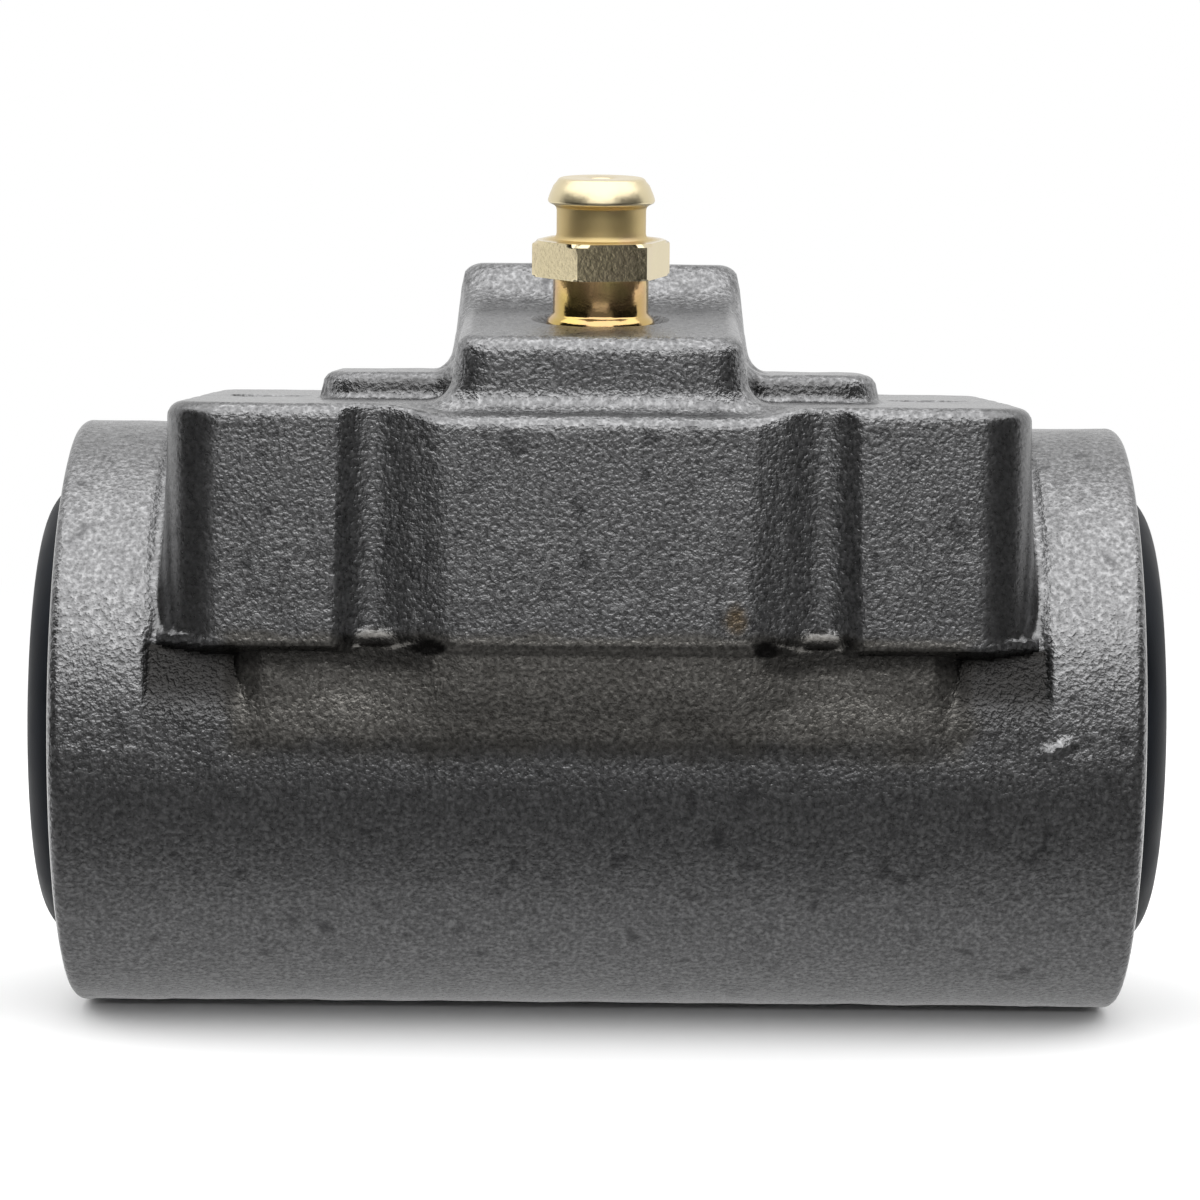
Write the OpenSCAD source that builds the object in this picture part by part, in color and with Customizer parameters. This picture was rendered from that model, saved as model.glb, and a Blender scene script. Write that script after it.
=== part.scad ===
// Wheel cylinder of a drum brake: a cast iron barrel with a mounting pad on top, and in its
// bore two pistons that brake fluid pushes apart against the brake shoes.
// X runs along the bore and +Z out of the mounting face. The origin lies on that face, midway
// between the two bolt holes. The bleeder screw stands on the -Y side of the boss.
// All sizes are in millimetres and all angles in degrees.

/* [Barrel] */
// Diameter of the bore
bore_d = 38.1; // [37:0.1:38.6]
// Diameter of the barrel at its end collars
barrel_d = 54.1; // [53:0.1:55]
// Length of the barrel from end to end
barrel_len = 96.5; // [95:0.5:102]
// Length of each end collar
collar_len = 8.6; // [7:0.1:8.8]
// Depth of the waist between the collars
waist_step = 0.5; // [0.2:0.1:0.8]
// Rounding of the barrel's end edges
barrel_edge_r = 1.2; // [0.6:0.1:1.8]

/* [Mounting pad] */
// Height of the mounting face over the bore's axis
face_height = 29.5; // [29:0.1:31]
// Length of the pad along the bore, at the mounting face
pad_len = 76; // [74:0.5:77]
// Depth of the pad across the bore, at the mounting face
pad_depth = 55; // [54:0.5:57]
// Height of the pad's lower edge over the bore's axis
pad_floor = 8.2; // [6:0.1:10]
// Rounding of the pad's upright corners
pad_corner_r = 5; // [4:0.1:5.5]
// Rounding of the pad's top edges
pad_edge_r = 1.2; // [0.6:0.1:1.5]
// Draft of the pad's walls
pad_draft = 1.5; // [0.5:0.1:2.5]
// Length of the belt under the pad
belt_len = 63.8; // [58:0.2:68]
// Depth of the belt across the bore
belt_depth = 54; // [53:0.1:54]
// How far the pad's long edges drop in front of and behind the boss
centre_drop = 0.9; // [0.5:0.1:1.2]

/* [Flutes] */
// Distance of each flute from the middle of the pad
flute_x = 19.6; // [19:0.1:21]
// Radius of the flute
flute_r = 3.5; // [3.2:0.1:4]
// Depth of the flute
flute_depth = 1.7; // [1:0.1:2]
// Radius of the shallow sweep that runs from the flute towards the middle
sweep_r = 9; // [8:0.5:12]
// Depth of the shallow sweep
sweep_depth = 0.9; // [0.5:0.1:1.2]

/* [Pilot and boss] */
// Length of the pilot that enters the backing plate
pilot_len = 50.5; // [48:0.5:53]
// Depth of the pilot across the bore
pilot_depth = 22; // [18:0.5:26]
// Height of the pilot over the mounting face
pilot_height = 2.5; // [2:0.1:3]
// Width of the boss along the bore, at its top
boss_w = 25.2; // [24:0.2:28]
// Distance of the boss's front and back walls from the bore's plane
boss_reach = 24; // [23.5:0.1:24.2]
// Height of the raised half of the boss over the mounting face
boss_height = 12.5; // [11.5:0.1:14]
// Draft of the boss's walls
boss_draft = 6.5; // [6:0.5:7.5]
// Rounding of the boss's upright corners
boss_corner_r = 3; // [2.5:0.1:4]
// Rounding of the boss's top edges
boss_edge_r = 1.4; // [0.8:0.1:1.6]
// Radius of the fillet round the foot of the boss
boss_fillet_r = 2.2; // [1.5:0.1:2.4]

/* [Ports and bolt holes] */
// Distance between the two bolt holes
bolt_spacing = 61.1; // [59:0.1:62]
// Drilled diameter of each bolt hole
bolt_hole_d = 6.8; // [6:0.1:8]
// Full depth of each bolt hole
bolt_hole_depth = 7; // [5:0.1:7]
// Distance of the inlet port behind the bore's plane
inlet_y = 13; // [12:0.1:14]
// Drilled diameter of the inlet port
inlet_d = 10; // [9:0.1:11]
// Depth of the inlet port
inlet_depth = 13; // [11:0.1:14]
// Diameter of the fluid passages
passage_d = 3.5; // [3:0.1:4]

/* [Bleeder screw] */
// Distance of the bleeder screw in front of the bore's plane, at its terrace
bleeder_y = 9; // [8:0.1:10]
// Height of the terrace over the mounting face, at the bleeder screw
terrace_height = 7.4; // [7:0.1:8]
// Lean of the bleeder screw and its terrace towards the front
bleeder_tilt = 6; // [4:0.5:6]
// Diameter of the screw's thread
bleeder_thread_d = 10; // [9:0.1:10.4]
// Width of the hexagon across its flats
hex_width = 11; // [11:0.1:12]
// Height of the hexagon
hex_height = 3.3; // [3:0.1:4]
// Turn of the hexagon about the screw's axis
hex_turn = 10.6; // [0:0.1:59]
// Largest diameter of the hose nipple
nipple_d = 9.7; // [9:0.1:10]

/* [Boots] */
// Diameter of the boot where it plugs into the barrel
boot_d = 44; // [43:0.1:44.6]
// Depth of the boot's seat in the barrel
boot_seat = 5.5; // [5:0.1:6]
// Height of the boot's crown over the end of the barrel
boot_crown = 3.6; // [3:0.1:3.8]
// Radius of the boot's rounded shoulder
boot_shoulder_r = 5; // [4.5:0.1:5.4]
// Thickness of the rubber
boot_wall = 2; // [1.6:0.1:2.2]
// Diameter of the opening that the shoe's link passes
boot_opening_d = 14; // [13.4:0.1:16]

/* [Pistons and cups] */
// Length of each piston
piston_len = 19.5; // [18.5:0.1:20]
// Distance of each piston's outer face from the middle of the bore
piston_face = 41.5; // [40.5:0.1:42]
// Diameter of the socket for the shoe's link
socket_d = 12.7; // [11:0.1:13]
// Depth of the socket
socket_depth = 10; // [8:0.1:12]
// Length of each cup
cup_len = 8.5; // [7.5:0.1:9]
// Thickness of the cup's floor
cup_floor = 3.2; // [2.6:0.1:3.6]

/* [Spring and expanders] */
// Thickness of the sheet steel in each expander
expander_sheet = 0.8; // [0.6:0.1:1]
// Wire diameter of the spring
wire_d = 1.6; // [1.2:0.1:1.8]
// Mean diameter of the spring
coil_d = 16.8; // [16.6:0.1:17.2]
// Number of turns in the spring
turns = 8; // [6:1:10]

/* [Clearances] */
// Gap all round each piston in the bore
piston_gap = 0.04; // [0.02:0.01:0.08]
// Gap all round each cup's lip in the bore
cup_gap = 0.03; // [0.02:0.01:0.06]
// Gap all round the bleeder screw in its hole
thread_gap = 0.05; // [0.03:0.01:0.09]
// Gap under the bleeder screw's conical tip
seat_gap = 0.2; // [0.15:0.01:0.3]
// Gap all round each boot in its seat
boot_gap = 0.05; // [0.03:0.01:0.1]
// Gap at each end of the spring
spring_gap = 0.05; // [0.03:0.01:0.1]

/* [Hidden] */
$fn = 96;

// Cut length that runs past a face, and overlap between joined cast shapes
over = 1;

// Straight steps in each rounded edge
arc_steps = 6;

// Grid that outline points snap to, so that neighbouring walls meet in the same points
grid = 0.001;

// Sides along the bore
left = -1;
right = 1;

cast_colour = "#515254";
plated_colour = "#c9a85c";
rubber_colour = "#1b1c1f";
piston_colour = "#b4b7ba";
steel_colour = "#8d9094";

// Barrel
half_len = barrel_len / 2;
bore_r = bore_d / 2;
barrel_r = barrel_d / 2;
waist_half = half_len - collar_len;
waist_r = barrel_r - waist_step;

// Boot seat, with the groove that its bead snaps into
boot_r = boot_d / 2;
seat_r = boot_r + boot_gap;
bead_height = 0.6;
bead_low = 4.3;
bead_high = 2.5;
mouth_chamfer = 0.6;

// Boot: how far its shoulder lies under the crown, and its lip's radius as a share of the wall
shoulder_drop = 0.8;
lip_share = 0.7;

// Pad
pad_height = face_height - pad_floor;
pad_wall_y = pad_depth / 2 + pad_height / 2 * tan(pad_draft);
belt_corner_r = 3;
relief_half = 17.5;
relief_foot = 13.5;

// Boss: the front block leans with the bleeder screw, the rear block stands upright
front_reach = boss_reach - bleeder_y;
front_back = 13;
front_height = 12;
rear_front_y = 4;
rear_height = 14;
ramp_foot_y = -0.5;
ramp_top_y = 6;
fillet_sink = 0.1;
pilot_corner_r = 3;
pilot_edge_r = 1;
pilot_draft = 5;

// Ports
drill_point = 59;
inlet_chamfer = 0.8;
inlet_step = 0.6;
seat_cone_r = 3.8;
seat_cone_height = 1.8;
seat_room = 0.4;

// Levels of the bleeder screw along its own axis, counted from the terrace
thread_r = bleeder_thread_d / 2;
thread_top = -0.1;
shank_step = 0.65;
shank_r = thread_r - shank_step;
hex_sides = 6;
hex_low = 3.9;
hex_top = hex_low + hex_height;
hex_chamfer = 0.3;
neck_step = 0.8;
neck_r = nipple_d / 2 - neck_step;
neck_flare = 0.4;
neck_len = 3.15;
barb_height = 0.55;
cap_height = 1.9;
cap_step = 0.88;
nipple_low = hex_top + neck_len;
nipple_rim = nipple_low + barb_height;
nipple_top = nipple_rim + cap_height;
nipple_top_r = nipple_d / 2 - cap_step;
thread_end = -7.5;
tip_neck_r = 3.2;
tip_neck_low = -11.2;
tip_r = 1.2;
tip_low = tip_neck_low - (tip_neck_r - tip_r);
thread_run_out = thread_r - tip_neck_r;
bleed_hole_r = 1;
cross_hole_level = -10.2;

// Hole for the bleeder screw
hole_r = thread_r + thread_gap;
hole_mouth_r = 6.35;
hole_floor = -10.6;
seat_top_r = 3.5;
seat_top = tip_neck_low + (seat_top_r - tip_neck_r) - seat_gap;
seat_low = seat_top - (seat_top_r - passage_d / 2);
passage_end = -22;

// Pistons, cups and expanders, as distances from the middle of the bore
piston_r = bore_r - piston_gap;
piston_back = piston_face - piston_len;
piston_chamfer = 0.8;
socket_r = socket_d / 2;
socket_chamfer = 0.6;
socket_point = 2;
groove_from_face = 5;
groove_w = 1.6;
groove_depth = 0.7;
cup_r = bore_r - cup_gap;
cup_heel_step = 0.3;
cup_lip = piston_back - cup_len;
cup_floor_at = piston_back - cup_floor;
cup_root_w = 3.4;
cup_lip_w = 1.4;
expander_hole_r = 2.5;
hat_r = 6;
hat_height = 2;
flange_r = 10;
flare_reach = 0.6;
flare_depth = 2.2;
flare_r = cup_r - cup_root_w + flare_reach;
flare_at = cup_lip + flare_depth;
spring_seat = cup_floor_at - expander_sheet;

// Spring
wire_sides = 10;
steps_per_turn = 28;
end_turns = 1;
end_pitch = 1.05;
spring_half = spring_seat - spring_gap - wire_d / 2;
end_rise = end_turns * wire_d * end_pitch;
active_turns = turns - 2 * end_turns;
steps = turns * steps_per_turn;

// Turns the profile round the bore, with its second coordinate counted from the middle of
// the bore towards one end.
module along_bore(side) {
    translate([0, 0, -face_height])
        rotate([0, 90 * side, 0])
            children();
}

// Points of an arc round a centre, from one angle to another.
function arc(centre, r, from, to) =
    [for (i = [0:arc_steps])
        let (a = from + (to - from) * i / arc_steps)
        centre + r * [cos(a), sin(a)]];

// Outline of a cast wall from the top down: the top lies on y = 0, its edge is rounded and
// the wall falls away with the draft.
function wall_outline(reach, height, edge_r, draft) =
    let (
        centre = [reach - edge_r * (1 - sin(draft)) / cos(draft), -edge_r],
        foot = [reach + height * tan(draft), -height]
    )
    [for (p = concat(arc(centre, edge_r, 90, draft), [foot]))
        [round(p.x / grid) * grid, round(p.y / grid) * grid]];

// Half section of a cast wall, from its inner side at x = 0.
module wall_section(reach, height, edge_r, draft) {
    polygon(concat([[0, -height], [0, 0]], wall_outline(reach, height, edge_r, draft)));
}

// Section of a block between two cast walls.
module wall_pair(span, reach, height, edge_r, draft) {
    outline = [for (p = wall_outline(reach, height, edge_r, draft)) p + [span, 0]];
    last = len(outline) - 1;
    polygon(concat(outline, [for (i = [last:-1:0]) [-outline[i].x, outline[i].y]]));
}

// Block with drafted walls, round upright corners and a rounded top edge. Its top is on z = 0.
module cast_block(length, depth, height, corner_r, edge_r, draft) {
    span_x = length / 2 - corner_r;
    span_y = depth / 2 - corner_r;
    for (quarter = [0:3])
        translate([
            span_x * (quarter == 0 || quarter == 3 ? 1 : -1),
            span_y * (quarter < 2 ? 1 : -1),
            0
        ])
            rotate([0, 0, 90 * quarter])
                rotate_extrude(angle = 90)
                    wall_section(corner_r, height, edge_r, draft);
    rotate([90, 0, 0])
        linear_extrude(2 * span_y, center = true)
            wall_pair(span_x, corner_r, height, edge_r, draft);
    rotate([90, 0, 90])
        linear_extrude(2 * span_x, center = true)
            wall_pair(span_y, corner_r, height, edge_r, draft);
}

// Rectangle with round corners.
module round_rect(w, h, r) {
    square([w - 2 * r, h], center = true);
    square([w, h - 2 * r], center = true);
    for (sx = [-1, 1], sy = [-1, 1])
        translate([sx * (w / 2 - r), sy * (h / 2 - r)])
            circle(r = r);
}

// Concave fillet in the corner between the x axis and the y axis, sunk a little into both.
module cove(r) {
    difference() {
        translate([-over, -over])
            square(r + over);
        translate([r, r])
            circle(r = r);
    }
}

// Places a shape on the bleeder screw's axis, with z = 0 on the terrace.
module on_terrace() {
    translate([0, -bleeder_y, terrace_height])
        rotate([bleeder_tilt, 0, 0])
            children();
}

// Half section of the barrel, from the middle of the bore to one end.
module barrel_section() {
    edge = [barrel_r - barrel_edge_r, half_len - barrel_edge_r];
    polygon(concat(
        [[0, 0], [waist_r, 0], [waist_r, waist_half], [barrel_r, waist_half]],
        arc(edge, barrel_edge_r, 0, 90),
        [[0, half_len]]
    ));
}

// Half section of what is cut from the barrel: the bore, the boot's seat and its groove.
module bore_section() {
    polygon([
        [0, 0],
        [bore_r, 0],
        [bore_r, half_len - boot_seat],
        [seat_r, half_len - boot_seat],
        [seat_r, half_len - bead_low],
        [seat_r + bead_height, half_len - bead_low],
        [seat_r + bead_height, half_len - bead_high],
        [seat_r, half_len - bead_high],
        [seat_r, half_len - mouth_chamfer],
        [seat_r + mouth_chamfer + over, half_len + over],
        [0, half_len + over]
    ]);
}

module barrel() {
    for (side = [left, right])
        along_bore(side)
            rotate_extrude()
                barrel_section();
}

module bore_cut() {
    for (side = [left, right])
        along_bore(side)
            rotate_extrude()
                bore_section();
}

// Upright flutes that part the bolt lobes from the middle of the pad, on both long faces.
module flutes() {
    for (sx = [0, 1], sy = [0, 1])
        mirror([sx, 0, 0])
            mirror([0, sy, 0])
                translate([0, 0, -pad_height - over])
                    linear_extrude(pad_height + 2 * over) {
                        translate([flute_x, pad_wall_y + flute_r - flute_depth])
                            circle(r = flute_r);
                        translate([flute_x - flute_r / 2, pad_wall_y + sweep_r - sweep_depth])
                            circle(r = sweep_r);
                    }
}

// Shallow steps with sloped ends that lower the pad's long edges beside the boss.
module edge_reliefs() {
    for (s = [0, 1])
        mirror([0, s, 0])
            translate([0, boss_reach, 0])
                rotate([90, 0, 180])
                    linear_extrude(pad_depth)
                        polygon([
                            [-relief_foot, -centre_drop],
                            [relief_foot, -centre_drop],
                            [relief_half, 0],
                            [relief_half, over],
                            [-relief_half, over],
                            [-relief_half, 0]
                        ]);
}

module pad() {
    difference() {
        cast_block(pad_len, pad_depth, pad_height, pad_corner_r, pad_edge_r, pad_draft);
        flutes();
        edge_reliefs();
    }
}

// Straight belt that carries the pad down to the widest line of the barrel.
module belt() {
    translate([0, 0, -face_height])
        linear_extrude(pad_floor + over)
            round_rect(belt_len, belt_depth, belt_corner_r);
}

module pilot() {
    translate([0, 0, pilot_height])
        cast_block(
            pilot_len, pilot_depth, pilot_height + over,
            pilot_corner_r, pilot_edge_r, pilot_draft
        );
}

// Low half of the boss, square to the bleeder screw.
module boss_front() {
    on_terrace()
        translate([0, (front_back - front_reach) / 2, 0])
            cast_block(
                boss_w, front_back + front_reach, front_height,
                boss_corner_r, boss_edge_r, boss_draft
            );
}

// Raised half of the boss, round the inlet port.
module boss_rear() {
    translate([0, (boss_reach + rear_front_y) / 2, boss_height])
        cast_block(
            boss_w, boss_reach - rear_front_y, rear_height,
            boss_corner_r, boss_edge_r, boss_draft
        );
}

// Slope between the two halves of the boss.
module boss_ramp() {
    rotate([90, 0, 90])
        linear_extrude(boss_w - 2 * boss_edge_r, center = true)
            polygon([
                [ramp_foot_y, 0],
                [ramp_foot_y, terrace_height],
                [ramp_top_y - boss_edge_r, boss_height - boss_edge_r],
                [ramp_top_y, boss_height - boss_edge_r / 2],
                [ramp_top_y + over, 0]
            ]);
}

// Fillets at the foot of the boss, on the pilot at its sides and on the pad at its ends.
module boss_fillets() {
    wall_x = boss_w / 2 + (boss_height - pilot_height - boss_fillet_r) * tan(boss_draft);
    for (s = [0, 1])
        mirror([s, 0, 0])
            translate([wall_x - fillet_sink, 0, pilot_height])
                rotate([90, 0, 0])
                    linear_extrude(pilot_depth - 2 * pilot_corner_r, center = true)
                        cove(boss_fillet_r);
    for (s = [0, 1])
        mirror([0, s, 0])
            translate([0, boss_reach, -centre_drop])
                rotate([90, 0, 90])
                    linear_extrude(boss_w - 2 * boss_corner_r, center = true)
                        cove(boss_fillet_r);
}

// Hole for one mounting bolt, with a drill point.
module bolt_hole() {
    r = bolt_hole_d / 2;
    rotate_extrude()
        polygon([
            [0, -bolt_hole_depth - r / tan(drill_point)],
            [r, -bolt_hole_depth],
            [r, over],
            [0, over]
        ]);
}

// Port for the brake line. The thread ends over a narrower well with a raised cone, which the
// flared line seals on.
module inlet_hole() {
    r = inlet_d / 2;
    thread_floor = seat_cone_height + seat_room - inlet_depth;
    passage_low = bore_r / 2 - face_height - boss_height;
    passage_top = seat_cone_height - inlet_depth + over;
    translate([0, inlet_y, boss_height]) {
        rotate_extrude()
            polygon([
                [0, seat_cone_height - inlet_depth],
                [seat_cone_r - seat_cone_height, seat_cone_height - inlet_depth],
                [seat_cone_r, -inlet_depth],
                [r - inlet_step, -inlet_depth],
                [r - inlet_step, thread_floor],
                [r, thread_floor],
                [r, -inlet_chamfer],
                [r + inlet_chamfer + over, over],
                [0, over]
            ]);
        translate([0, 0, passage_low])
            cylinder(h = passage_top - passage_low, d = passage_d);
    }
}

// Hole for the bleeder screw: a chamfered mouth, the thread, a conical seat and a passage.
module bleeder_hole() {
    mouth_depth = hole_mouth_r - hole_r;
    on_terrace()
        rotate_extrude()
            polygon([
                [0, passage_end],
                [passage_d / 2, passage_end],
                [passage_d / 2, seat_low],
                [seat_top_r, seat_top],
                [seat_top_r, hole_floor],
                [hole_r, hole_floor],
                [hole_r, -mouth_depth],
                [hole_mouth_r + over, over],
                [0, over]
            ]);
}

module cylinder_body() {
    color(cast_colour)
        difference() {
            union() {
                barrel();
                belt();
                pad();
                pilot();
                boss_rear();
                boss_front();
                boss_ramp();
                boss_fillets();
            }
            bore_cut();
            for (side = [left, right])
                translate([side * bolt_spacing / 2, 0, 0])
                    bolt_hole();
            inlet_hole();
            bleeder_hole();
        }
}

// Hexagon of the bleeder screw, with its corners chamfered top and bottom.
module bleeder_hex() {
    corner_r = hex_width / 2 / cos(180 / hex_sides);
    rotate([0, 0, hex_turn])
        intersection() {
            translate([0, 0, hex_low])
                cylinder(h = hex_height, r = corner_r, $fn = hex_sides);
            rotate_extrude()
                polygon([
                    [0, hex_low],
                    [corner_r - hex_chamfer * 2, hex_low],
                    [corner_r, hex_low + hex_chamfer],
                    [corner_r, hex_top - hex_chamfer],
                    [corner_r - hex_chamfer * 2, hex_top],
                    [0, hex_top]
                ]);
        }
}

module bleeder_screw() {
    color(plated_colour)
        on_terrace()
            difference() {
                union() {
                    rotate_extrude()
                        polygon([
                            [0, tip_low],
                            [tip_r, tip_low],
                            [tip_neck_r, tip_neck_low],
                            [tip_neck_r, thread_end - thread_run_out],
                            [thread_r, thread_end],
                            [thread_r, thread_top],
                            [shank_r, thread_top + thread_r - shank_r],
                            [shank_r, hex_top],
                            [neck_r, hex_top + neck_flare],
                            [neck_r, nipple_low],
                            [nipple_d / 2, nipple_rim],
                            [nipple_top_r, nipple_top],
                            [0, nipple_top]
                        ]);
                    bleeder_hex();
                }
                translate([0, 0, cross_hole_level])
                    cylinder(h = nipple_top - cross_hole_level + over, r = bleed_hole_r);
                translate([0, 0, cross_hole_level])
                    rotate([0, 90, 0])
                        cylinder(h = 2 * thread_r, r = bleed_hole_r, center = true);
            }
}

// Half section of the boot's outer form, shrunk inwards by the given amount. The crown is a
// shallow arc that runs into the shoulder arc.
module boot_form(shrink) {
    shoulder_x = boot_r - boot_shoulder_r;
    shoulder_y = boot_crown - boot_shoulder_r - shoulder_drop;
    rise = boot_crown - shoulder_y;
    crown_r = (pow(shoulder_x, 2) + pow(rise, 2) - pow(boot_shoulder_r, 2))
        / (2 * (rise - boot_shoulder_r));
    lean = asin(shoulder_x / (crown_r - boot_shoulder_r));
    meet_x = shoulder_x + (boot_shoulder_r - shrink) * sin(lean);
    translate([0, half_len]) {
        intersection() {
            translate([0, boot_crown - crown_r])
                circle(r = crown_r - shrink);
            translate([0, shoulder_y])
                square([meet_x, 2 * boot_crown]);
        }
        intersection() {
            translate([shoulder_x, shoulder_y])
                circle(r = boot_shoulder_r - shrink);
            translate([0, shoulder_y])
                square([boot_r, 2 * boot_crown]);
        }
        translate([0, -boot_seat])
            square([boot_r - shrink, boot_seat + shoulder_y]);
    }
}

// Half section of the boot: the form less its hollow, with a bead for the groove and a thick
// lip round the opening.
module boot_section() {
    lip_r = boot_wall * lip_share;
    difference() {
        union() {
            difference() {
                boot_form(0);
                boot_form(boot_wall);
            }
            translate([boot_r - boot_wall, half_len - bead_low + boot_gap])
                square([boot_wall + bead_height, bead_low - bead_high - 2 * boot_gap]);
            translate([boot_opening_d / 2 + lip_r / 2, half_len + boot_crown - boot_wall])
                circle(r = lip_r);
        }
        translate([0, half_len - boot_seat])
            square([boot_opening_d / 2, boot_seat + 2 * boot_crown]);
    }
}

module boot(side) {
    color(rubber_colour)
        along_bore(side)
            rotate_extrude()
                boot_section();
}

module boot_left() {
    boot(left);
}

module boot_right() {
    boot(right);
}

// Half section of the piston, with a groove near its outer end and the link's socket.
module piston_section() {
    groove_out = piston_face - groove_from_face;
    groove_in = groove_out - groove_w;
    polygon([
        [0, piston_back],
        [piston_r - piston_chamfer, piston_back],
        [piston_r, piston_back + piston_chamfer],
        [piston_r, groove_in],
        [piston_r - groove_depth, groove_in],
        [piston_r - groove_depth, groove_out],
        [piston_r, groove_out],
        [piston_r, piston_face - piston_chamfer],
        [piston_r - piston_chamfer, piston_face],
        [socket_r + socket_chamfer, piston_face],
        [socket_r, piston_face - socket_chamfer],
        [socket_r, piston_face - socket_depth],
        [0, piston_face - socket_depth - socket_point]
    ]);
}

module piston(side) {
    color(piston_colour)
        along_bore(side)
            rotate_extrude()
                piston_section();
}

module piston_left() {
    piston(left);
}

module piston_right() {
    piston(right);
}

// Half section of the cup: a thick floor behind the piston and a lip that spreads against
// the bore.
module cup_section() {
    polygon([
        [0, piston_back],
        [cup_r - 2 * cup_heel_step, piston_back],
        [cup_r - cup_heel_step, piston_back - cup_heel_step],
        [cup_r - cup_heel_step, cup_floor_at],
        [cup_r, cup_lip + cup_lip_w],
        [cup_r, cup_lip + cup_heel_step],
        [cup_r - cup_heel_step, cup_lip],
        [cup_r - cup_lip_w, cup_lip],
        [cup_r - cup_root_w, cup_floor_at - cup_heel_step],
        [cup_r - cup_root_w - cup_heel_step, cup_floor_at],
        [0, cup_floor_at]
    ]);
}

module cup(side) {
    color(rubber_colour)
        along_bore(side)
            rotate_extrude()
                cup_section();
}

module cup_left() {
    cup(left);
}

module cup_right() {
    cup(right);
}

// Half section of the expander: a pressed hat that centres the spring, a flange under the
// spring's end and a flared rim that holds the cup's lip out.
module expander_section() {
    polygon([
        [expander_hole_r, cup_floor_at - hat_height],
        [hat_r, cup_floor_at - hat_height],
        [hat_r, cup_floor_at],
        [flange_r, cup_floor_at],
        [flare_r, flare_at],
        [flare_r - expander_sheet, flare_at - expander_sheet],
        [flange_r - expander_sheet / 2, spring_seat],
        [hat_r + expander_sheet, spring_seat],
        [hat_r + expander_sheet, spring_seat - hat_height],
        [expander_hole_r, spring_seat - hat_height]
    ]);
}

module cup_expander(side) {
    color(steel_colour)
        along_bore(side)
            rotate_extrude()
                expander_section();
}

module cup_expander_left() {
    cup_expander(left);
}

module cup_expander_right() {
    cup_expander(right);
}

// Place of the wire's centre along the spring, t turns from its first end: the closed end
// turns rise by little more than the wire, the active turns share the rest.
function wire_rise(t) =
    t < end_turns ? end_rise * t / end_turns
    : t > turns - end_turns ? 2 * spring_half - end_rise * (turns - t) / end_turns
    : end_rise + (2 * spring_half - 2 * end_rise) * (t - end_turns) / active_turns;

// Ring of points round the wire at one step of the coil.
function wire_ring(step) =
    let (t = step / steps_per_turn, turn = 360 * t, rise = wire_rise(t) - spring_half)
    [for (i = [0:wire_sides - 1])
        let (a = 360 * i / wire_sides, out = coil_d / 2 + wire_d / 2 * cos(a))
        [out * cos(turn), out * sin(turn), rise + wire_d / 2 * sin(a)]];

module return_spring() {
    points = [for (step = [0:steps]) each wire_ring(step)];
    sides = [for (step = [0:steps - 1], i = [0:wire_sides - 1])
        let (j = (i + 1) % wire_sides, low = step * wire_sides, high = low + wire_sides)
        each [[low + i, high + i, high + j], [low + i, high + j, low + j]]];
    first = [for (i = [0:wire_sides - 1]) i];
    last = [for (i = [wire_sides - 1:-1:0]) steps * wire_sides + i];
    color(steel_colour)
        along_bore(right)
            polyhedron(points = points, faces = concat(sides, [first, last]));
}

cylinder_body();
bleeder_screw();
boot_left();
boot_right();
piston_left();
piston_right();
cup_left();
cup_right();
cup_expander_left();
cup_expander_right();
return_spring();
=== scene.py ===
import math

import bpy
import numpy as np
from mathutils import Euler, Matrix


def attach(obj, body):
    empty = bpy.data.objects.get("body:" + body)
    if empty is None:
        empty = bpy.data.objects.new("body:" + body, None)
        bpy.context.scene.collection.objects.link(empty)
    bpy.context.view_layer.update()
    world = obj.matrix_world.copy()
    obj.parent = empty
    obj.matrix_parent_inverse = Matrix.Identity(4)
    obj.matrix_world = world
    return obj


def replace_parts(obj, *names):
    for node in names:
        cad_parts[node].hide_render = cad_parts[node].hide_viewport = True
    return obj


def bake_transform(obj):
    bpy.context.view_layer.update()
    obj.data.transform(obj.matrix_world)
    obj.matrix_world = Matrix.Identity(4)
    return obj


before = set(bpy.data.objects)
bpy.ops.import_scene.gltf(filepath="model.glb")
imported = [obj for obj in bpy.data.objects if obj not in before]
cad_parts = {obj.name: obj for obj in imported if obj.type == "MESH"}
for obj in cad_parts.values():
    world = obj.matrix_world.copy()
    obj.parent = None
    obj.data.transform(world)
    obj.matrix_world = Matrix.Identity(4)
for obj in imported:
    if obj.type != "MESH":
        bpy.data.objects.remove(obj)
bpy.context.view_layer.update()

# Sizes are worked out in millimetres. x runs along the bore, y across it with the front at -y,
# and heights h are counted from the bore's axis.
MM = 0.001
AXIS_Z = -29.5
FACE_H = -AXIS_Z
HALF_LEN = 48.25
BORE_R = 19.05
SEAT_R = 22.05
GROOVE_R = 22.65
BARREL_R = 27.05
END_EDGE = 1.2

# The casting's blocks, with half lengths, radii of corners and edges, and a draft in degrees.
PAD = dict(half_x=38.0, half_y=27.5, corner=5.0, edge=1.3, draft=1.5)
PILOT = dict(half_x=25.2, half_y=11.0, corner=4.0, edge=1.1, draft=5.0)
BOSS_FRONT = dict(half_x=12.6, half_y=14.0, corner=3.0, edge=1.4, draft=6.5)
BOSS_REAR = dict(half_x=12.6, half_y=10.0, corner=3.0, edge=1.5, draft=6.5)
PAD_FOOT = 8.2
PILOT_H = 32.0
ROOT_H = 20.0
REAR_Y, REAR_H = 14.0, 42.0
RAMP_RUN, RAMP_RISE = 5.1, 3.7

# The bleeder screw's axis leans to the front from a point on the boss's lower terrace.
TERRACE_Y = -9.0
TERRACE_H = 36.9
TERRACE_TILT = math.radians(6.0)

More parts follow.
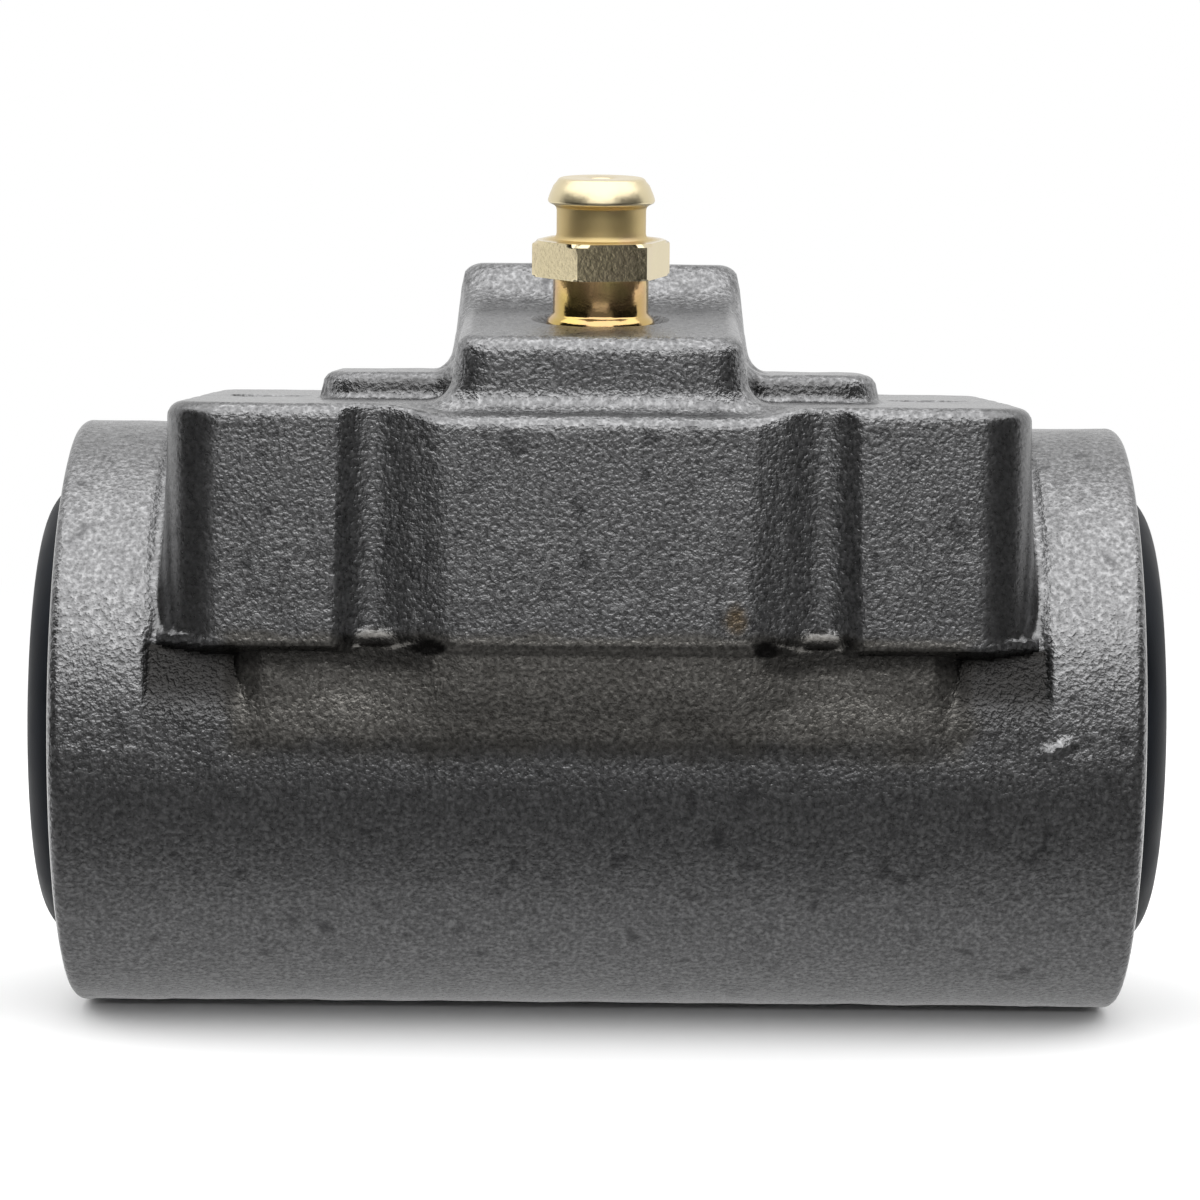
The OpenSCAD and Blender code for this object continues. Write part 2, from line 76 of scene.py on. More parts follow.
# The flutes' deep rounds and shallow sweeps, the belt under the pad, and the lip between them.
FLUTE_X, FLUTE_Y, FLUTE_R = 19.6, 29.58, 3.5
SWEEP_X, SWEEP_Y, SWEEP_R = 17.85, 35.88, 9.0
BELT_X, BELT_Y, BELT_H, BELT_HALF = 31.9, 27.0, 2.1, 6.1
LIP_Y, LIP_H, LIP_HALF = 27.6, 8.8, 0.5
COLLAR_X = 39.2

# Torn pits at the belt's top (x, half length), and the flash left at one collar.
PITS = [(-15.0, 2.3), (14.8, 1.2)]
FLASH_X, FLASH_Y, FLASH_H = 40.2, -26.6, -0.2

# Knots (place, spacing) of the casting's lines along the bore, and in degrees round it.
X_LINES = [
    (0, 0.8), (10.5, 0.7), (11.2, 0.3), (16, 0.3), (17, 0.42), (20.8, 0.42), (21.2, 0.24),
    (23.6, 0.24), (24.4, 0.32), (27, 0.32), (28, 0.55), (30.5, 0.5), (31, 0.28), (32.6, 0.28),
    (33.4, 0.48), (36.3, 0.45), (36.8, 0.26), (40.2, 0.26), (41, 0.7), (46.4, 0.7), (46.9, 0.2),
    (HALF_LEN, 0.16),
]
TURN_LINES = [
    (-180, 2.6), (-114, 2.6), (-110, 1.0), (-77, 1.0), (-75.6, 0.6), (-71.5, 0.6), (-70, 1.1),
    (-47.5, 1.1), (-46, 0.6), (-28.5, 0.6), (-27, 0.9), (-22.5, 0.9), (-22, 0.6), (-17.5, 0.6),
    (-17, 0.9), (-11, 0.9), (-10, 0.65), (2, 0.65), (3, 0.9), (17, 0.9), (17.5, 0.42),
    (22, 0.42), (22.5, 0.9), (31, 0.9), (32, 0.42), (46, 0.42), (47.5, 1.05), (70, 1.05),
    (71.5, 0.42), (75.6, 0.42), (77, 0.9), (110, 0.9), (114, 2.6), (180, 2.6),
]
TRACE_START, TRACE_LEAST, TRACE_SHARE, TRACE_STEPS = 53.0, 24.0, 0.9, 110

# The right end's face, boot seat, groove and bore, as (radius, place along the bore).
BORE_PROFILE = [
    (24.3, HALF_LEN), (GROOVE_R, HALF_LEN), (SEAT_R, 47.65), (SEAT_R, 45.75), (GROOVE_R, 45.75),
    (GROOVE_R, 43.95), (SEAT_R, 43.95), (SEAT_R, 42.75), (BORE_R, 42.75), (BORE_R, 30.0),
    (BORE_R, 12.0),
]

# Holes, as (radius, level) under their mouths, with the threads' pitches and depths.
BOLT_X, BOLT_R, BOLT_PITCH, BOLT_DEPTH = 30.55, 3.4, 1.25, 0.45
INLET_Y, INLET_TOP, INLET_R, INLET_PITCH, INLET_DEPTH = 13.0, 12.5, 5.0, 1.27, 0.5
PASSAGE_R = 1.75
OVERSHOOT = 1.0

# The bleeder screw's hexagon and thread, with levels over the terrace.
HEX_TURN = math.radians(10.6)
HEX_LOW, HEX_TOP = 3.9, 7.2
HEX_FLAT, HEX_CORNER = 5.5, 6.36
SCREW_COLUMNS = 144
SCREW_R, SCREW_PITCH, SCREW_DEPTH = 4.97, 1.0, 0.5
SHANK_R, NECK_R, BLEED_R = 4.35, 4.05, 1.0

# The boots' crown and shoulder, and the spring's wire, coil and rest length.
CROWN_H, SHOULDER_X, SHOULDER_DROP, SHOULDER_R, BOOT_WALL = 3.6, 17.0, 2.2, 5.0, 2.0
BOOT_MOUTH_R, BOOT_COLUMNS = 7.0, 128
WIRE_R, COIL_R, COIL_TURNS, SPRING_HALF, CLOSED_PITCH = 0.8, 8.4, 8.0, 17.95, 1.68

SMOOTH_ANGLE = 38.0


def spread(knots):
    """Positions whose spacing follows the knots (position, spacing), straight between them."""
    at, step = np.array(knots, float).T
    fine = np.linspace(at[0], at[-1], 20000)
    count = np.concatenate([[0], np.cumsum(np.diff(fine) / np.interp(fine[1:], at, step))])
    return np.interp(np.linspace(0, count[-1], int(round(count[-1])) + 1), count, fine)


def ease(low, high, value):
    """Rises from 0 at low to 1 at high with flat ends."""
    t = np.clip((value - low) / (high - low), 0, 1)
    return t * t * (3 - 2 * t)


def between(start, full, leave, end, value):
    """Rises from start to full, stays at 1 up to leave, and falls to 0 at end."""
    return ease(start, full, value) * (1 - ease(leave, end, value))


def waves(points, length, count, seed):
    """Uneven skin of about one in height: the mean of sine waves of about the given length in
    random directions."""
    rng = np.random.default_rng(seed)
    way = rng.normal(size=(count, 3))
    way /= np.linalg.norm(way, axis=1, keepdims=True)
    way *= 2 * np.pi / (length * rng.uniform(0.7, 1.5, (count, 1)))
    phase = rng.uniform(0, 2 * np.pi, count)
    total = np.zeros(points.shape[:-1])
    for k, p in zip(way, phase):
        total += np.sin(points @ k + p)
    return total / math.sqrt(count)


def new_object(name, mesh):
    obj = bpy.data.objects.new(name, mesh)
    bpy.context.scene.collection.objects.link(obj)
    return obj


def point_values(mesh, name, values):
    layer = mesh.attributes.new(name, "FLOAT", "POINT")
    layer.data.foreach_set("value", np.asarray(values, np.float32).reshape(-1))


def smooth(mesh, sharp):
    mesh.polygons.foreach_set("use_smooth", np.ones(len(mesh.polygons), bool))
    mesh.set_sharp_from_angle(angle=math.radians(sharp))
    mesh.update()


def skin(name, grid, wrap=False, marks=None, sharp=SMOOTH_ANGLE):
    """A closed skin over a grid of points in millimetres. Columns close round, and rows either
    close on themselves or end in a pole where a row has shrunk to one point. Marks are named
    values for each point, which the materials read."""
    rows, columns = grid.shape[:2]
    index = np.arange(rows * columns).reshape(rows, columns)
    for i in (0, -1):
        if not wrap and np.ptp(grid[i], axis=0).max() < 1e-9:
            index[i] = index[i, 0]
    low = index if wrap else index[:-1]
    high = np.roll(index, -1, 0) if wrap else index[1:]
    quads = np.stack([low, high, np.roll(high, -1, 1), np.roll(low, -1, 1)], -1).reshape(-1, 4)
    points = grid.reshape(-1, 3)
    a, b, c, d = (points[quads[:, i]] for i in range(4))
    volume = (np.cross(a, b) * c).sum() + (np.cross(a, c) * d).sum()
    if volume < 0:
        quads = quads[:, ::-1]
    used, place = np.unique(quads, return_inverse=True)
    faces = [list(dict.fromkeys(q)) for q in place.reshape(-1, 4).tolist()]
    mesh = bpy.data.meshes.new(name)
    mesh.from_pydata((points[used] * MM).tolist(), [], faces)
    for mark_name, values in (marks or {}).items():
        point_values(mesh, mark_name, np.asarray(values).reshape(-1)[used])
    smooth(mesh, sharp)
    return new_object(name, mesh)


def turned(profile, columns, start=0.0):
    """Points of a turned shape: each profile point (radius, level) carried round the level's
    axis. The result is rows by columns of (across, across, level)."""
    r, level = np.asarray(profile, float).T
    a = start + np.linspace(0, 2 * np.pi, columns, endpoint=False)
    return np.stack([
        r[:, None] * np.cos(a),
        r[:, None] * np.sin(a),
        np.repeat(level[:, None], columns, 1),
    ], -1)


def resized(grid, r):
    """A turned grid whose points keep their directions and levels and take the radii r."""
    scale = r / np.maximum(np.hypot(grid[..., 0], grid[..., 1]), 1e-9)
    return grid * np.stack([scale, scale, np.ones_like(scale)], -1)


def thread_ridge(level, pitch, depth):
    """Depth of a helical groove over rows of levels: a triangle wave that climbs by one pitch
    in each turn of the columns."""
    turn = np.linspace(0, 1, level.shape[1], endpoint=False)
    return np.abs(((level / pitch - turn) % 1) * 2 - 1) * depth


def arc(centre, r, start, end, steps):
    """Points on an arc round a centre, between two angles in degrees."""
    a = np.radians(np.linspace(start, end, steps + 1))
    return [(centre[0] + r * math.cos(t), centre[1] + r * math.sin(t)) for t in a]


def wall(r, low, high, steps):
    """Profile points up a straight wall."""
    return [(r, level) for level in np.linspace(low, high, steps)]


def along_bore(points, side):
    """Turns local points, whose third value is a level, so that the level runs along the bore
    towards one side."""
    u, v, level = np.moveaxis(points, -1, 0)
    return np.stack([side * level, u, v + AXIS_Z], -1)


def on_terrace(points):
    """Places local points on the bleeder screw's axis, which leans to the front."""
    u, v, level = np.moveaxis(points, -1, 0)
    c, s = math.cos(TERRACE_TILT), math.sin(TERRACE_TILT)
    return np.stack([
        u,
        TERRACE_Y + v * c - level * s,
        TERRACE_H + AXIS_Z + v * s + level * c,
    ], -1)


# The casting is given by the gap from a point to its skin, which is negative inside.

def plan_gap(x, y, half_x, half_y, corner):
    """Gap to a rectangle with round corners, seen from above."""
    qx, qy = np.abs(x) - half_x + corner, np.abs(y) - half_y + corner
    outside = np.hypot(np.maximum(qx, 0), np.maximum(qy, 0))
    return outside + np.minimum(np.maximum(qx, qy), 0) - corner


def egg_gap(x, y, h, half, centre):
    """Distance from a centre as a share of an egg's half sizes, less one."""
    shares = [(v - c) / s for v, c, s in zip((x, y, h), centre, half)]
    return np.sqrt(shares[0] ** 2 + shares[1] ** 2 + shares[2] ** 2) - 1


def meet(a, b, r):
    """What lies in both shapes, with their common edge rounded to radius r."""
    return np.minimum(np.maximum(a, b), -r) + np.hypot(np.maximum(a + r, 0), np.maximum(b + r, 0))


def join(a, b, r):
    """What lies in either shape, with a fillet of radius r between them."""
    return np.maximum(np.minimum(a, b), r) - np.hypot(np.maximum(r - a, 0), np.maximum(r - b, 0))


def cast_block(x, y, over_top, half_x, half_y, corner, edge, draft):
    """Gap to a block whose walls fall away by the draft under its top, with rounded edges."""
    flare = np.maximum(-over_top, -2) * math.tan(math.radians(draft))
    sides = plan_gap(x, y, half_x + flare, half_y + flare, corner + flare)
    return meet(sides * math.cos(math.radians(draft)), over_top, edge)


def pad_gap(x, y, h):
    """The drafted pad: its long edges sink beside the boss, and on each long face two flutes
    with a deep side at the lobe and a shallow sweep to the middle part the lobes from it. A
    thin ridge runs along the pad's foot."""
    across, out = np.abs(x), np.abs(y)
    drop = 0.9 * (1 - ease(12.0, 20.0, across)) * ease(22.4, 24.4, out)
    pad = cast_block(x, y, h - FACE_H + drop, **PAD)
    flute = np.hypot(across - FLUTE_X, out - FLUTE_Y) - FLUTE_R
    sweep = np.hypot(across - SWEEP_X, out - SWEEP_Y) - SWEEP_R
    pad = meet(pad, -join(flute, sweep, r=0.8), r=0.45)
    pad = meet(pad, PAD_FOOT - h, r=0.35)
    return pad - 0.03 * np.exp(-((h - LIP_H + 0.1) / 0.3) ** 2)


def boss_gap(x, y, h):
    """The boss: a front block that leans with the bleeder screw, an upright rear block and the
    slope between them."""
    c, s = math.cos(TERRACE_TILT), math.sin(TERRACE_TILT)
    dy, dh = y - TERRACE_Y, h - TERRACE_H
    front = cast_block(x, dy * c + dh * s + 1.0, dh * c - dy * s, **BOSS_FRONT)
    rear = cast_block(x, y - REAR_Y, h - REAR_H, **BOSS_REAR)
    slope = (dh * RAMP_RUN - (y + 0.5) * RAMP_RISE) / math.hypot(RAMP_RUN, RAMP_RISE)
    draft = math.tan(math.radians(BOSS_REAR["draft"]))
    sides = np.abs(x) - BOSS_REAR["half_x"] + np.minimum(h - REAR_H, 0) * draft
    ramp = meet(meet(sides, slope, r=1.4), h - REAR_H + 0.6, r=0.6)
    ramp = meet(ramp, np.abs(y - 1.5) - 6.5, r=0.2)
    return join(join(front, rear, r=0.8), ramp, r=1.0)


def casting_gap(x, y, h):
    """The whole casting: barrel, belt, pad, pilot and boss, each joined to the rest with its own
    fillet. The belt swells in the middle, a lip bridges the pad's ends to the collars and draws
    back at the flutes, torn pits mark the belt, flash is left at one collar, and a low swelling
    follows the mould's parting line."""
    across = np.abs(x)
    collar = ease(COLLAR_X - 0.9 * ease(8, 10, h), COLLAR_X + 0.8, across)
    barrel = np.hypot(y, h) - BARREL_R + (0.05 + 0.5 * ease(1, 6.5, h)) * (1 - collar)
    swell = 0.6 * (1 - ease(11, 21, across)) * ease(-5, 5, h)
    sunk = 0.35 * np.maximum(-h, 0) + 0.25 * between(10, 16, 22.5, 29, across) * ease(-2, 8, h)
    belt = plan_gap(x, y, BELT_X, BELT_Y + swell - sunk, corner=3.0)
    belt = np.maximum(belt, np.abs(h - BELT_H) - BELT_HALF)
    fluted = between(14, 16, 22.5, 24.5, across)
    lip = plan_gap(x, y, COLLAR_X, LIP_Y - fluted, corner=4.6)
    lip = meet(lip, np.abs(h - LIP_H) - LIP_HALF, r=0.2)
    body = join(barrel, belt, r=0.6)
    body = join(body, pad_gap(x, y, h), r=0.6 + 0.7 * ease(10, 13, h))
    body = join(body, lip, r=0.1)
    pilot = cast_block(x, y, h - PILOT_H, **PILOT)
    body = join(body, np.maximum(pilot, ROOT_H - h), r=0.7)
    body = join(body, np.maximum(boss_gap(x, y, h), ROOT_H - h), r=2.2)
    for at, half in PITS:
        pit = egg_gap(x, np.abs(y), h, (half, 1.0, 0.7), (at, 28.2, PAD_FOOT))
        body = meet(body, -0.7 * pit, r=0.15)
    climb = 0.4 * (x - FLASH_X)
    flash = egg_gap(x, y, h - climb, (1.7, 1.0, 0.5), (FLASH_X, FLASH_Y, FLASH_H))
    body = join(body, 0.6 * flash, r=0.2)
    seam = 0.1 * collar * ease(0.5, 1.0, -h) + 0.13 * (1 - collar) * ease(0.6, 4.0, -h)
    return body - seam * (1 - ease(4.2, 8.5, -h))


def casting_outside():
    """The outer skin, and the directions of its columns. Along each ray from the bore's axis, at
    a place x and a turn from the upright, the step inwards is the gap itself until it closes.
    The barrel's ends are rounded, and low waves make the rest uneven."""
    half = spread(X_LINES)
    x = np.concatenate([-half[:0:-1], half])[:, None]
    turn = np.radians(spread(TURN_LINES)[:-1])[None, :]
    lean, rise = -np.sin(turn), np.cos(turn)

    def placed(r):
        return np.stack([np.broadcast_to(x, r.shape), r * lean, r * rise], -1)

    r = np.full((x.shape[0], turn.shape[1]), TRACE_START)
    for _ in range(TRACE_STEPS):
        gap = casting_gap(x, r * lean, r * rise)
        r = np.maximum(r - TRACE_SHARE * gap, TRACE_LEAST)
    end = np.maximum(np.abs(x) - HALF_LEN + END_EDGE, 0)
    rounded = BARREL_R - END_EDGE + np.sqrt(np.maximum(END_EDGE ** 2 - end ** 2, 0))
    r = np.where(end > 0, rounded, r)
    outer = placed(r)
    uneven = 0.03 * waves(outer, 7.0, 28, 3) + 0.014 * waves(outer, 2.6, 40, 4) - 0.07
    return placed(r + uneven * (1 - ease(46.5, 47.6, np.abs(x)))), lean[0], rise[0]


def casting_marks(grid, outer_rows):
    """Values from 0 to 1 that the finish reads, each a product of soft windows along the bore,
    out from it and in height. The ends and the bore are bare metal, flash is ground off the
    belt, painted shade darkens the pockets beside it, the band under the lobes, the flutes'
    feet, the pilot's foot and the pits, the lobes' side-facing corners get painted shade and a
    smoother skin, and the front has one stain. A wave makes the edges uneven, and the ground
    flash and the painted shade are fainter at the back."""
    x, y, h = np.moveaxis(grid, -1, 0)
    across, out = np.abs(x), np.abs(y)
    uneven = 0.5 * waves(grid, 4.0, 30, 9)
    front = ease(22, 24, -y)
    # The ground flash and the painted shade fall to 0.4 of their strength at the back.
    fainter_behind = 0.4 + 0.6 * ease(-2, 2, -y)

    bare = np.ones(grid.shape[:2])
    bare[1:outer_rows - 1] = 0

    ground = ease(-2.5, 0.5, h + uneven) * (1 - ease(9.0, 9.9, h + 0.5 * uneven))
    ground *= (1 - ease(31.4, 33.5, across + uneven)) * ease(24, 25.5, out)

    # Painted shade where shade falls: the pockets under the pad's ends, a little darker along their
    # rims, the band under the lobes, the flutes' feet and the pilot's foot.
    rim = np.maximum(1 - ease(32.4, 32.9, across), ease(7.3, 7.9, h)) * ease(1.5, 4.0, h)
    pocket = between(31.0, 31.7, COLLAR_X, COLLAR_X + 1, across) * ease(22, 24, out)
    pocket *= between(-1, 5, 8.1, 8.5, h) * (0.93 + 0.07 * rim)
    under = between(13.8, 15.0, 31.0, 32.0, across) * ease(24, 26, out)
    under *= ease(5.6, 7.0, h + 0.5 * uneven) * (1 - ease(8.1, 8.4, h))
    foot = between(14.0, 15.5, 22.0, 23.0, across) * ease(24, 26, out)
    foot *= between(7.9, 8.3, 8.9, 9.8, h)
    ledge = between(10.6, 11.0, 11.6, 12.2, out) * between(29.7, 30.2, 31.4, 31.9, h)
    painted_shade = np.max([pocket, 0.7 * under, 0.8 * foot, 0.5 * ledge], axis=0)
    # Painted shade in and round the torn pits, on the front only.
    for at, half in PITS:
        blot = np.hypot((x - at) / half, (h - PAD_FOOT) / 0.75) + 0.5 * uneven
        painted_shade = np.maximum(painted_shade, (1 - ease(0.8, 1.2, blot)) * front)

    # Painted shade on the lobes' side-facing corners, whose skin is also smoother.
    shaded_smooth_corner = between(33.0, 34.2, 38.6, COLLAR_X, across) * ease(20, 23, out) * ease(8.3, 9.5, h)
    blot = np.hypot((x - 12.0) / 1.1, (h - 10.8) / 1.5) + 0.4 * uneven
    return {
        "bare_metal": bare,
        "ground_flash": ground * fainter_behind,
        "painted_shade": painted_shade * fainter_behind,
        "shaded_smooth_corner": shaded_smooth_corner,
        "stain": (1 - ease(0.5, 1.2, blot)) * front,
    }


def casting_grid():
    """The outer skin, then the end faces and the bore as rings from the right end to the left,
    so that the rows close on themselves."""
    outer, lean, rise = casting_outside()
    rings = BORE_PROFILE + [(r, -x) for r, x in BORE_PROFILE[::-1]]
    inner = [np.stack([np.full(lean.shape, x), r * lean, r * rise], -1) for r, x in rings]
    grid = np.concatenate([outer, inner])
    return grid + np.array([0, 0, AXIS_Z]), casting_marks(grid, len(outer))


def threaded(profile, columns, pitch, depth, low, high):
    """A turned cutter whose wall, between two levels, swells by the ridges of a thread that
    fades in and out over one pitch."""
    grid = turned(profile, columns)
    level, r = grid[..., 2], np.hypot(grid[..., 0], grid[..., 1])
    fade = between(low, low + pitch, high - pitch, high, level)
    return resized(grid, r + fade * thread_ridge(level, pitch, depth))


def cutters():
    """The two bolt holes, the inlet port with its flare seat and passage, and the bleeder
    screw's hole, each closed at its poles."""
    bolt = [(0, -9.04), (BOLT_R, -7.0)] + wall(BOLT_R, -6.8, -0.7, 40)
    bolt += [(3.95, 0.0), (4.9, OVERSHOOT), (0, OVERSHOOT)]
    hole = threaded(bolt, 48, BOLT_PITCH, BOLT_DEPTH, -6.2, -0.5)
    grids = [hole + np.array([side * BOLT_X, 0, 0]) for side in (-1, 1)]
    inlet = [(0, -32.475), (PASSAGE_R, -32.475), (PASSAGE_R, -11.45), (2.0, -11.2),
             (3.8, -13.0), (4.4, -13.0), (4.4, -10.8)]
    inlet += wall(INLET_R, -10.8, -1.0, 66) + [(5.8, 0.0), (6.8, OVERSHOOT), (0, OVERSHOOT)]
    hole = threaded(inlet, 60, INLET_PITCH, INLET_DEPTH, -10.7, -0.6)
    grids.append(hole + np.array([0, INLET_Y, INLET_TOP]))
    bleed = [(0, -22), (PASSAGE_R, -22), (PASSAGE_R, -12.85), (3.5, -11.1), (3.5, -10.6),
             (5.05, -10.6), (5.05, -1.3), (6.35, 0.0), (7.35, OVERSHOOT), (0, OVERSHOOT)]
    grids.append(on_terrace(turned(bleed, 64)))
    return grids


def cut(obj, grids):
    """Cuts each grid's closed shape from the piece, and keeps the result as a plain mesh."""
    # Each cutter carries the painted shade mark at full, which paints shade on the holes' walls.
    tools = [skin("cutter", grid, marks={"painted_shade": np.ones(grid.shape[:2])}) for grid in grids]
    for tool in tools:
        modifier = obj.modifiers.new("hole", "BOOLEAN")
        modifier.operation, modifier.solver, modifier.object = "DIFFERENCE", "MANIFOLD", tool
    evaluated = obj.evaluated_get(bpy.context.evaluated_depsgraph_get())
    mesh = bpy.data.meshes.new_from_object(evaluated)
    obj.modifiers.clear()
    obj.data = mesh
    for tool in tools:
        bpy.data.objects.remove(tool)
    smooth(mesh, SMOOTH_ANGLE)


def screw_grid():
    """A turned profile from the conical tip over the thread, shank, hexagon and neck to the
    nipple's cap and down its bleed hole. Between the hexagon's faces the radius follows six
    flats, held in by a cone at each face. Marks tell where the plating is paler or matt."""
    tip = [(0, -13.2), (1.2, -13.2), (3.2, -11.2), (3.2, -9.3), (4.4, -8.1)]
    screw_wall = wall(SCREW_R, -7.5, -0.5, 57)
    shank = [(4.9, -0.2), (4.82, 0.05), (4.5, 0.36), (4.38, 0.5), (SHANK_R, 0.65),
             (SHANK_R, 3.65), (4.42, 3.8), (4.6, HEX_LOW)]
    hexagon = [(6.1, HEX_LOW), (6.32, HEX_LOW + 0.14), (HEX_CORNER, HEX_LOW + 0.25),
               (HEX_CORNER, 5.0), (HEX_CORNER, 5.8), (HEX_CORNER, HEX_TOP - 0.4),
               (6.3, HEX_TOP - 0.28), (5.8, HEX_TOP)]
    neck = [(4.6, HEX_TOP + 0.02), (4.28, 7.32), (4.1, 7.55), (NECK_R, 7.8), (NECK_R, 8.5),
            (NECK_R, 9.2), (NECK_R, 9.85), (4.12, 10.15), (4.3, 10.33)]
    cap = arc((4.55, 10.78), 0.3, -70, 20, 6) + [(4.72, 11.25), (4.36, 12.1)]
    cap += arc((3.56, 12.3), 0.5, 20, 90, 7)
    cap += [(1.5, 12.8), (1.15, 12.7), (BLEED_R, 12.45), (BLEED_R, 9.0), (0, 8.4)]
    parts = [tip, screw_wall, shank, hexagon, neck, cap]
    counts = [len(part) for part in parts]
    grid = turned(sum(parts, []), SCREW_COLUMNS, HEX_TURN)
    r, level = np.hypot(grid[..., 0], grid[..., 1]), grid[..., 2]

    turn = np.linspace(0, 2 * np.pi, SCREW_COLUMNS, endpoint=False)
    flats = HEX_FLAT / np.cos(turn % (np.pi / 3) - np.pi / 6)
    on_hexagon = np.repeat([0, 0, 0, 1, 0, 0], counts)[:, None] > 0
    r = np.where(on_hexagon, np.minimum(r, flats), r)
    fade = between(-8.0, -7.0, -1.2, -0.6, level)
    grid = resized(grid, r - fade * thread_ridge(level, SCREW_PITCH, SCREW_DEPTH))

    def for_parts(values):
        return np.repeat(np.repeat(values, counts)[:, None], SCREW_COLUMNS, 1)

    marks = {"paler": for_parts([0, 0, 0, 1, 0.4, 1]), "matt": for_parts([0, 0, 0, 0, 1, 0.5])}
    return on_terrace(grid), marks


def boot_grid(side):
    """A turned shell: a shallow crown runs over a round shoulder into the seat with its bead,
    and the inner wall follows it at the wall's thickness, back to the lip round the opening.
    The crown's radius makes it touch the shoulder where both lean alike."""
    e, shoulder = HALF_LEN, (SHOULDER_X, HALF_LEN - SHOULDER_DROP)
    fall = CROWN_H + SHOULDER_DROP
    crown = (SHOULDER_X ** 2 + fall ** 2 - SHOULDER_R ** 2) / (2 * (fall - SHOULDER_R))
    lean = math.degrees(math.asin(SHOULDER_X / (crown - SHOULDER_R)))

    def level(r, inset):
        return e + CROWN_H - crown + math.sqrt((crown - inset) ** 2 - r * r)

    outer = arc((7.55, level(7.55, 0) - 0.55), 0.55, 180, 92, 6)
    outer += [(r, level(r, 0)) for r in np.linspace(8.4, 17.4, 14)]
    outer += arc(shoulder, SHOULDER_R, 90 - lean, 0, 18)
    seat = [(22.25, e - 2.6), (22.6, e - 2.95), (22.6, e - 3.9), (22.25, e - 4.2),
            (22.0, e - 4.25), (22.0, e - 5.2), (21.7, e - 5.5), (20.3, e - 5.5),
            (20.0, e - 5.2), (20.0, e - 3.0)]
    inner = arc(shoulder, SHOULDER_R - BOOT_WALL, 0, 90 - lean, 10)
    inner += [(r, level(r, BOOT_WALL)) for r in np.linspace(16.8, 9.8, 8)]
    lip = arc((7.95, e + 1.6), 1.35, -35, -125, 6)
    lip += [(BOOT_MOUTH_R, e + 1.1), (BOOT_MOUTH_R, e + 2.1)]
    return along_bore(turned(outer + seat + inner + lip, BOOT_COLUMNS), side)


def spring_grid(side):
    """A round wire carried along half the coil, from its middle to one closed and ground end."""
    turns, half = COIL_TURNS / 2, SPRING_HALF - WIRE_R
    t = np.linspace(0, turns, 200)
    rise = np.where(
        t < turns - 1,
        (half - CLOSED_PITCH) * t / (turns - 1),
        half - CLOSED_PITCH * (turns - t),
    )
    a = 2 * np.pi * t * side
    ring = np.linspace(0, 2 * np.pi, 16, endpoint=False)
    out = COIL_R + WIRE_R * np.cos(ring)[None, :]
    grid = np.stack([
        side * rise[:, None] + WIRE_R * np.sin(ring)[None, :],
        out * np.cos(a)[:, None],
        out * np.sin(a)[:, None] + AXIS_Z,
    ], -1)
    ends = [np.repeat(grid[i].mean(0)[None, None], len(ring), 1) for i in (0, -1)]
    return np.concatenate([ends[0], grid, ends[1]])


def add(tree, kind, settings=None, **sockets):
    """A node with its settings, whose sockets take a value or a link by name, or by number
    after an underscore."""
    made = tree.nodes.new(kind)
    for name, value in (settings or {}).items():
        setattr(made, name, value)
    for name, value in sockets.items():
        key = int(name[1:]) if name[1:].isdigit() else name.replace("_", " ")
        if isinstance(value, bpy.types.NodeSocket):
            tree.links.new(value, made.inputs[key])
        else:
            made.inputs[key].default_value = value
    return made


def finish(name):
    """A new finish with its shader and the object's own coordinates."""
    material = bpy.data.materials.new(name)
    material.use_nodes = True
    tree = material.node_tree
    shader = tree.nodes["Principled BSDF"]
    place = tree.nodes.new("ShaderNodeTexCoord").outputs["Object"]
    return material, tree, shader, place


def coat(tree, shader, **links):
    """Links the shader's sockets by name."""
    for name, value in links.items():
        tree.links.new(value, shader.inputs[name.replace("_", " ")])


def noise(tree, place, scale, detail=2.0, rough=0.5):
    made = add(tree, "ShaderNodeTexNoise", Vector=place, Scale=scale, Detail=detail,
               Roughness=rough)
    return made.outputs["Fac"]


def ramp(tree, fac, stops):
    """A colour ramp from the stops (position, colour or grey)."""
    made = add(tree, "ShaderNodeValToRGB", Fac=fac)
    points = made.color_ramp.elements
    while len(points) < len(stops):
        points.new(0.5)
    for point, (at, colour) in zip(points, stops):
        point.position = at
        point.color = (*(colour if isinstance(colour, tuple) else (colour,) * 3), 1)
    return made.outputs["Color"]


def combine(tree, operation, a, b):
    return add(tree, "ShaderNodeMath", {"operation": operation}, _0=a, _1=b).outputs[0]


def times(tree, a, b):
    return combine(tree, "MULTIPLY", a, b)


def mix(tree, fac, a, b):
    """Mixes two colours by a factor."""
    return add(tree, "ShaderNodeMix", {"data_type": "RGBA"}, _0=fac, _6=a, _7=b).outputs[2]


def mix_value(tree, fac, a, b):
    """Mixes two plain values by a factor."""
    return add(tree, "ShaderNodeMix", {"data_type": "FLOAT"}, _0=fac, _2=a, _3=b).outputs[0]


def mark(tree, name):
    return add(tree, "ShaderNodeAttribute", {"attribute_name": name}).outputs["Fac"]


def bump(tree, height, distance, strength=1.0, **under):
    """A relief of a height field, over another relief where one is given as Normal."""
    made = add(tree, "ShaderNodeBump", Height=height, Distance=distance, Strength=strength,
               **under)
    return made.outputs["Normal"]


def lathe_rings(tree, place, scale, distortion):
    """Fine rings round the bore's axis, as a lathe tool leaves them."""
    centred = add(tree, "ShaderNodeMapping", Vector=place, Location=(0, 0, -AXIS_Z * MM))
    rings = {"wave_type": "RINGS", "rings_direction": "X"}
    made = add(tree, "ShaderNodeTexWave", rings, Vector=centred.outputs[0], Scale=scale,
               Distortion=distortion, Detail=2.0)
    return made.outputs["Fac"]


